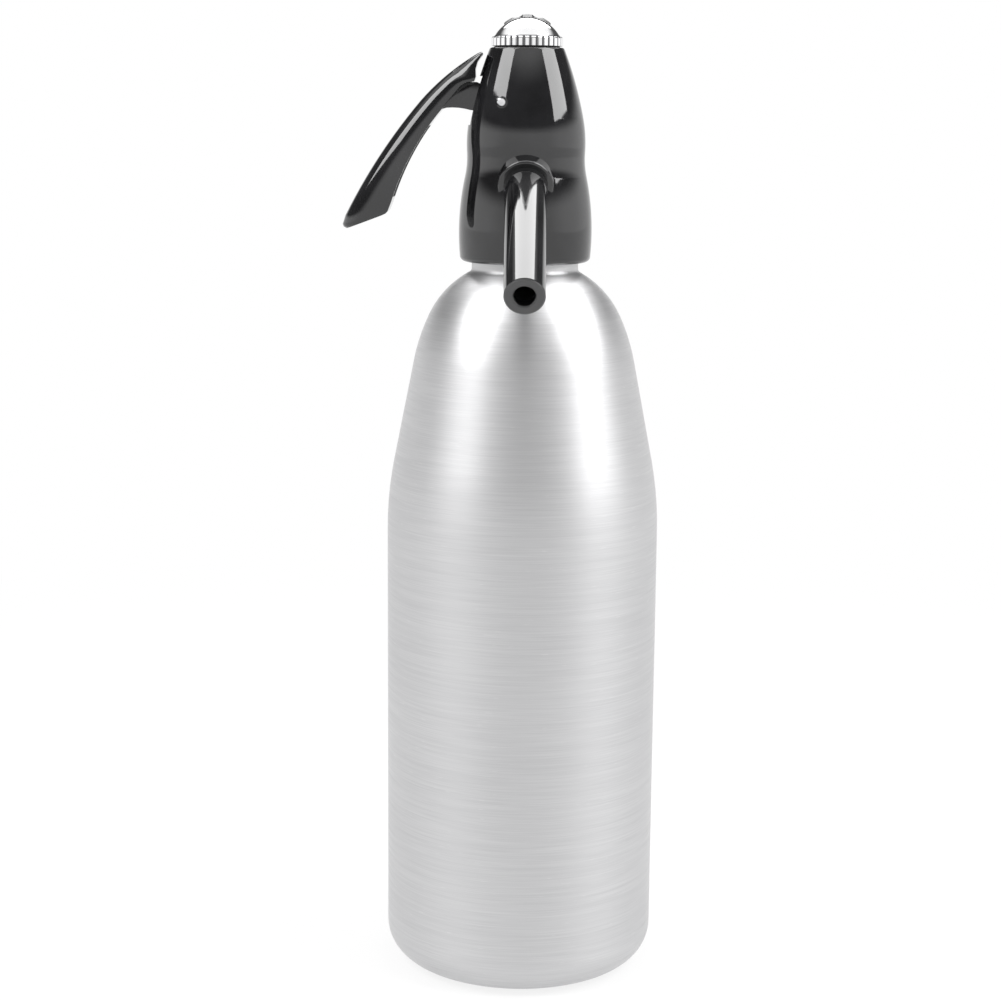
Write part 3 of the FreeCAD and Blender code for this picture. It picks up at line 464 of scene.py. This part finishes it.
# Points of an arc from start to end; a positive radius turns left on its way.
def arcPoints(start, end, radius, count):
    dx, dz = end[0] - start[0], end[1] - start[1]
    chord = math.hypot(dx, dz)
    reach = math.sqrt(max(radius * radius - chord * chord / 4, 0)) * math.copysign(1, radius)
    centre = ((start[0] + end[0]) / 2 - dz / chord * reach, (start[1] + end[1]) / 2 + dx / chord * reach)
    first = math.atan2(start[1] - centre[1], start[0] - centre[0])
    last = math.atan2(end[1] - centre[1], end[0] - centre[0])
    sweep = (last - first + math.pi) % (2 * math.pi) - math.pi
    return [polarPoint(centre, abs(radius), first + sweep * i / count) for i in range(count + 1)]


def softEdges(piece, width, angle=40.0):
    bevel = piece.modifiers.new("soft edges", "BEVEL")
    bevel.width = width
    bevel.segments = 3
    bevel.limit_method = "ANGLE"
    bevel.angle_limit = math.radians(angle)
    bpy.context.view_layer.objects.active = piece
    bpy.ops.object.modifier_apply(modifier=bevel.name)


def joinPieces(name, pieces):
    clearSelection()
    for piece in pieces:
        piece.select_set(True)
    bpy.context.view_layer.objects.active = pieces[0]
    bpy.ops.object.join()
    bpy.ops.object.transform_apply(location=True, rotation=True, scale=True)
    whole = bpy.context.object
    whole.name = name
    whole.data.name = name
    return whole


def finishPiece(piece, material, body, replaced):
    clearSelection()
    piece.select_set(True)
    bpy.context.view_layer.objects.active = piece
    bpy.ops.object.shade_smooth_by_angle(angle=math.radians(35.0))
    piece.data.materials.clear()
    piece.data.materials.append(finishes[material])
    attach(piece, body)
    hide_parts(replaced)
    print("piece", piece.name, len(piece.data.polygons), "faces")


# A flat outline in the XZ plane, extruded to a width across Y about a middle, with soft edges
def makeSlab(points, width, middle, edge):
    clearSelection()
    bpy.ops.mesh.primitive_circle_add(vertices=len(points), fill_type="NGON", location=(0, 0, 0))
    slab = bpy.context.object
    bpy.ops.object.mode_set(mode="EDIT")
    shape = bmesh.from_edit_mesh(slab.data)
    shape.verts.ensure_lookup_table()
    for vert, (x, z) in zip(shape.verts, points):
        vert.co = (x, middle - width / 2, z)
    bmesh.update_edit_mesh(slab.data)
    bpy.ops.mesh.select_all(action="SELECT")
    bpy.ops.mesh.extrude_region_move(TRANSFORM_OT_translate={"value": (0, width, 0)})
    bpy.ops.mesh.select_all(action="SELECT")
    bpy.ops.mesh.normals_make_consistent(inside=False)
    bpy.ops.object.mode_set(mode="OBJECT")
    softEdges(slab, edge)
    return slab


# Lever: an arched paddle with a hollow inner side, its arm, hub and fork. The outlines are in
# millimetres from the pivot as x and z. An arc is its start, end and radius.

leverForm = {
    "pivot": (-7.9 * mm, 288.6 * mm),
    "width": 16.0 * mm,
    "tipWidth": 11.0 * mm,
    "widening": 7,           # stations from the top to the full width
    "squareness": 2.7,       # 2 is a round arch, more is boxier
    "archSteps": 20,
    "innerSteps": 6,
    "upperSteps": 10,
    "lowerSteps": 14,
    "topBack": [(-6.8, 15.9)],
    "upperBack": ((-8.0, 15.4), (-26.2, 0.5), 75),
    "lowerBack": ((-26.2, 0.5), (-52.3, -39.6), 185),
    "footBack": [(-51.7, -39.4), (-51.4, -40.2), (-50.4, -40.8)],
    "topInner": [(-6.2, 15.4)],
    "noseInner": ((-6.6, 14.6), (-8.0, 6.6), 7.6),
    "throatInner": [(-12.4, 6.0), (-17.5, 0.0), (-19.2, -2.3)],
    "lowerInner": ((-19.2, -2.3), (-36.2, -34.4), 86),
    "footInner": [(-36.6, -34.9), (-37.2, -35.6), (-38.4, -36.2)],
    "wall": 1.5 * mm,
    "hollowDepth": 3.6 * mm,
    "hollowStation": 13,
    "edge": 0.45 * mm,
    "armWidth": 10.0 * mm,
    "armEdge": 0.35 * mm,
    "armRoot": ((-23.5, -7.2), (-17.8, -1.9), -7.0),
    "armUnder": ((-17.8, -1.9), (-10.0, -2.6), -22),
    "armTop": [(-1.5, -3.2), (-1.5, 3.2), (-8.0, 6.3), (-14.0, 6.2), (-22.0, -1.2)],
    "hubRadius": 3.6 * mm,
    "pinBore": 1.51 * mm,
    "noseRadius": 1.5 * mm,
    "fingerInside": 2.2 * mm,
    "fingerThick": 2.4 * mm,
    "fingerEdge": 0.15 * mm,
}


def fromPivot(points):
    px, pz = leverForm["pivot"]
    return [(px + x * mm, pz + z * mm) for x, z in points]


# Points at even distances along a line of runs
def evenly(points, count):
    lengths = [0.0]
    for a, b in zip(points, points[1:]):
        lengths.append(lengths[-1] + math.dist(a, b))
    tiny = 1e-12
    spots = []
    for i in range(count + 1):
        want = lengths[-1] * i / count
        k = max(j for j in range(len(points) - 1) if lengths[j] <= want + tiny)
        share = (want - lengths[k]) / max(lengths[k + 1] - lengths[k], tiny)
        a, b = points[k], points[k + 1]
        spots.append((a[0] + (b[0] - a[0]) * share, a[1] + (b[1] - a[1]) * share))
    return spots


# Pairs of a point on the back and one on the inner side, from the top down
def leverStations():
    form = leverForm
    upper, lower = form["upperSteps"], form["lowerSteps"]
    upperInner = arcPoints(*form["noseInner"], 5) + form["throatInner"]
    back = evenly(arcPoints(*form["upperBack"], upper), upper)
    back = back + evenly(arcPoints(*form["lowerBack"], lower), lower)[1:-1]
    inner = evenly(upperInner, upper) + evenly(arcPoints(*form["lowerInner"], lower), lower)[1:-1]
    back = form["topBack"] + back + form["footBack"]
    inner = form["topInner"] + inner + form["footInner"]
    return list(zip(fromPivot(back), fromPivot(inner)))


def makePaddle():
    form = leverForm
    arch, flat = form["archSteps"], form["innerSteps"]
    stations = leverStations()
    count = arch + flat
    clearSelection()
    bpy.ops.mesh.primitive_circle_add(vertices=count, fill_type="NGON", location=(0, 0, 0))
    paddle = bpy.context.object
    bpy.ops.object.mode_set(mode="EDIT")

    def section(station, index):
        # one point of a station's ring: first over the arched back, then along the flat inner side
        (bx, bz), (ix, iz) = stations[index]
        grow = min(1.0, (index + 2) / form["widening"])
        half = (form["tipWidth"] + (form["width"] - form["tipWidth"]) * grow) / 2
        if station <= arch:
            angle = math.pi * station / arch
            power = 2 / form["squareness"]
            across = -math.copysign(abs(math.cos(angle)) ** power, math.cos(angle))
            rise = abs(math.sin(angle)) ** power
        else:
            across = 1 - 2 * (station - arch) / flat
            rise = 0.0
        return Vector((ix + (bx - ix) * rise, half * across, iz + (bz - iz) * rise))

    def shapeRing(index):
        # the extruded end face takes its station's place; order numbers its points from ring to ring
        shape = bmesh.from_edit_mesh(paddle.data)
        ring = [face for face in shape.faces if face.select and len(face.verts) == count][0]
        if index == 0:
            start = min(range(count), key=lambda i: ring.verts[i].index)
        else:
            start = min(range(count), key=lambda i: ring.verts[i][order])
        for i in range(count):
            vert = ring.verts[(start + i) % count]
            vert[order] = i
            vert.co = section(i, index)
        bmesh.update_edit_mesh(paddle.data)

    shape = bmesh.from_edit_mesh(paddle.data)
    order = shape.verts.layers.int.new("order")
    bmesh.update_edit_mesh(paddle.data)
    bpy.ops.mesh.select_all(action="SELECT")
    shapeRing(0)
    for index in range(1, len(stations)):
        bpy.ops.mesh.extrude_region_move(TRANSFORM_OT_translate={"value": (0, 0, 0)})
        order = bmesh.from_edit_mesh(paddle.data).verts.layers.int["order"]
        shapeRing(index)
    bpy.ops.mesh.select_all(action="SELECT")
    bpy.ops.mesh.normals_make_consistent(inside=False)
    hollowPaddle(paddle, stations)
    bpy.ops.object.mode_set(mode="OBJECT")
    paddle.data.attributes.remove(paddle.data.attributes["order"])
    softEdges(paddle, form["edge"], 38.0)
    return paddle


# The inner faces below the arm are inset by the wall and pushed in.
def hollowPaddle(paddle, stations):
    form = leverForm
    foot = len(form["footInner"]) + 1
    top = stations[form["hollowStation"]][1][1]
    bottom = stations[-foot][1][1] + 0.2 * mm
    bpy.ops.mesh.select_all(action="DESELECT")
    bpy.ops.mesh.select_mode(type="FACE")
    shape = bmesh.from_edit_mesh(paddle.data)
    shape.normal_update()
    for face in shape.faces:
        middle = face.calc_center_median()
        inner = face.normal.x > 0.35 and abs(face.normal.y) < 0.2 and len(face.verts) == 4
        face.select_set(inner and bottom < middle.z < top)
    bmesh.update_edit_mesh(paddle.data)
    bpy.ops.mesh.inset(thickness=form["wall"], use_boundary=True)
    bpy.ops.mesh.extrude_region_shrink_fatten(
        TRANSFORM_OT_shrink_fatten={"value": -form["hollowDepth"]})
    bpy.ops.mesh.select_mode(type="VERT")


def makeHub():
    form = leverForm
    clearSelection()
    px, pz = form["pivot"]
    bpy.ops.mesh.primitive_cylinder_add(
        vertices=48, radius=form["hubRadius"], depth=form["armWidth"],
        location=(px, 0, pz), rotation=(math.pi / 2, 0, 0))
    hub = bpy.context.object
    bpy.ops.object.transform_apply(location=True, rotation=True, scale=True)
    bpy.ops.object.mode_set(mode="EDIT")
    bpy.ops.mesh.select_all(action="DESELECT")
    bpy.ops.mesh.select_mode(type="FACE")
    shape = bmesh.from_edit_mesh(hub.data)
    for face in shape.faces:
        face.select_set(len(face.verts) > 4)
    bmesh.update_edit_mesh(hub.data)
    bpy.ops.mesh.inset(thickness=form["hubRadius"] - form["pinBore"], use_individual=True)
    bpy.ops.mesh.bridge_edge_loops()
    bpy.ops.mesh.select_all(action="SELECT")
    bpy.ops.mesh.normals_make_consistent(inside=False)
    bpy.ops.object.mode_set(mode="OBJECT")
    return hub


def makeLever():
    form = leverForm
    px, pz = form["pivot"]
    armOutline = arcPoints(*form["armRoot"], 5) + arcPoints(*form["armUnder"], 4)[1:] + form["armTop"]
    arm = makeSlab(fromPivot(armOutline), form["armWidth"], 0.0, form["armEdge"])
    parts = [makePaddle(), arm, makeHub()]
    nose = [polarPoint((0, pz), form["noseRadius"], math.radians(a)) for a in range(-90, 91, 20)]
    finger = [(px, pz + form["noseRadius"]), (px, pz - form["noseRadius"])] + nose
    away = form["fingerInside"] + form["fingerThick"] / 2
    for side in (-away, away):
        parts.append(makeSlab(finger, form["fingerThick"], side, form["fingerEdge"]))
    lever = joinPieces("lever_moulding", parts)
    finishPiece(lever, "leverPlastic", "lever_arm", "lever")


makeLever()


# Camera, floor and lights

photoView = {
    "place": (0.0, -0.701, 0.28675),
    "pitch": 0.1819,      # radians, downwards
    "turn": 0.0105,
    "roll": 0.0082,
    "lens": 76.74,
    "sensor": 36.0,
    "clip": (0.05, 50.0),
}


def makeCamera():
    v = photoView
    data = bpy.data.cameras.new("photoCamera")
    data.lens = v["lens"]
    data.sensor_width = v["sensor"]
    data.clip_start, data.clip_end = v["clip"]
    camera = bpy.data.objects.new("photoCamera", data)
    bpy.context.collection.objects.link(camera)
    turned = Matrix.Rotation(v["turn"], 4, "Z") @ Matrix.Rotation(math.pi / 2 - v["pitch"], 4, "X")
    camera.matrix_world = Matrix.Translation(v["place"]) @ turned @ Matrix.Rotation(v["roll"], 4, "Z")
    bpy.context.scene.camera = camera


# White counts as 1. The sky bands are heights of the direction, from 0 at the horizon to 1 overhead.
studio = {
    "floorSize": 12.0,
    "floorShade": (0.86, 0.86, 0.86),
    "floorGlow": 0.80,             # share of plain white near the object, where its shadow lies
    "shadowRange": (0.08, 0.65),
    "darkBand": (0.12, 0.27),
    "darkGlossy": 0.08,
    "overheadBand": (0.50, 0.72),
    "overheadGlossy": 1.0,
    "sideRange": (0.35, 0.95),
    "sideGlossy": 0.25,
    "diffuseSky": 0.75,
    "distance": 1.25,
    "aim": (0.0, 0.0, 0.28),
    # azimuths and elevations in degrees, counted from the camera's side towards +X, and radiance
    "panels": (
        ("rightPanel", 54, 100, 17, 60, 6.2),
        ("leftPanel", -88, -44, 24, 60, 6.2),
        ("spoutPanel", 136, 224, 34, 84, 5.0),
    ),
    "glossyOnly": ("spoutPanel",),
}


# Whether a ray comes from the camera, a glossy surface or a clear one
def rayKinds(finish):
    kinds = ("Is Camera Ray", "Is Glossy Ray", "Is Transmission Ray")
    return [finish.add("ShaderNodeLightPath", {}, {}, kind) for kind in kinds]


def makeFloor():
    clearSelection()
    bpy.ops.mesh.primitive_plane_add(size=studio["floorSize"], location=(0, 0, 0))
    floor = bpy.context.object
    floor.name = "floor"
    material, finish = startMaterial("paleFloor")
    camera, glossy, through = rayKinds(finish)
    spot, (x, y, z) = finish.place()
    glow = finish.remap(finish.around(x, y), *studio["shadowRange"], studio["floorGlow"], 1.0)
    share = camera.most(glossy).most(through) * glow
    plain = finish.add("ShaderNodeBsdfDiffuse", {}, {"Color": (*studio["floorShade"], 1)})
    white = finish.add("ShaderNodeEmission", {}, {"Color": (1, 1, 1, 1), "Strength": 1.0})
    surface = finish.add("ShaderNodeMixShader", {}, {0: share, 1: plain, 2: white})
    finish.add("ShaderNodeOutputMaterial", {}, {"Surface": surface})
    floor.data.materials.append(material)


# White to the camera. In reflections a dark band lies above the horizon, and white overhead.
def makeWorld():
    s = studio
    world = bpy.data.worlds.new("studio")
    bpy.context.scene.world = world
    world.use_nodes = True
    world.node_tree.nodes.clear()
    finish = Finish(world.node_tree)
    camera, glossy, through = rayKinds(finish)
    direction = finish.add("ShaderNodeTexCoord", {}, {}, "Generated")
    up = finish.add("ShaderNodeSeparateXYZ", {}, {0: direction}, "Z")
    across = finish.add("ShaderNodeSeparateXYZ", {}, {0: direction}, "X")
    side = finish.remap(across * across, *s["sideRange"], 0.0, s["sideGlossy"])
    above = finish.remap(up, *s["darkBand"], 1.0 + side, s["darkGlossy"])
    above = above + finish.remap(up, *s["overheadBand"], 0.0, s["overheadGlossy"])
    seen = camera.most(through)
    strength = seen + glossy * (1 - seen) * above + (1 - seen.most(glossy)) * s["diffuseSky"]
    background = finish.add("ShaderNodeBackground", {}, {"Color": (1, 1, 1, 1), "Strength": strength})
    finish.add("ShaderNodeOutputWorld", {}, {"Surface": background})


def makePanels():
    aim = Vector(studio["aim"])
    reach = studio["distance"]
    for name, west, east, low, high, radiance in studio["panels"]:
        azimuth = math.radians((west + east) / 2)
        elevation = math.radians((low + high) / 2)
        data = bpy.data.lights.new(name, "AREA")
        data.shape = "RECTANGLE"
        data.size = 2 * reach * math.cos(elevation) * math.tan(math.radians(east - west) / 2)
        data.size_y = 2 * reach * math.tan(math.radians(high - low) / 2)
        data.energy = radiance * math.pi * data.size * data.size_y
        lamp = bpy.data.objects.new(name, data)
        bpy.context.collection.objects.link(lamp)
        outwards = Vector((math.sin(azimuth) * math.cos(elevation),
                           -math.cos(azimuth) * math.cos(elevation), math.sin(elevation)))
        lamp.location = aim + outwards * reach
        lamp.rotation_euler = outwards.to_track_quat("Z", "Y").to_euler()
        lamp.visible_camera = False
        lamp.visible_diffuse = name not in studio["glossyOnly"]


makeCamera()
makeFloor()
makeWorld()
makePanels()
bpy.context.scene.view_settings.view_transform = "Standard"
print("camera, floor and lights in place")
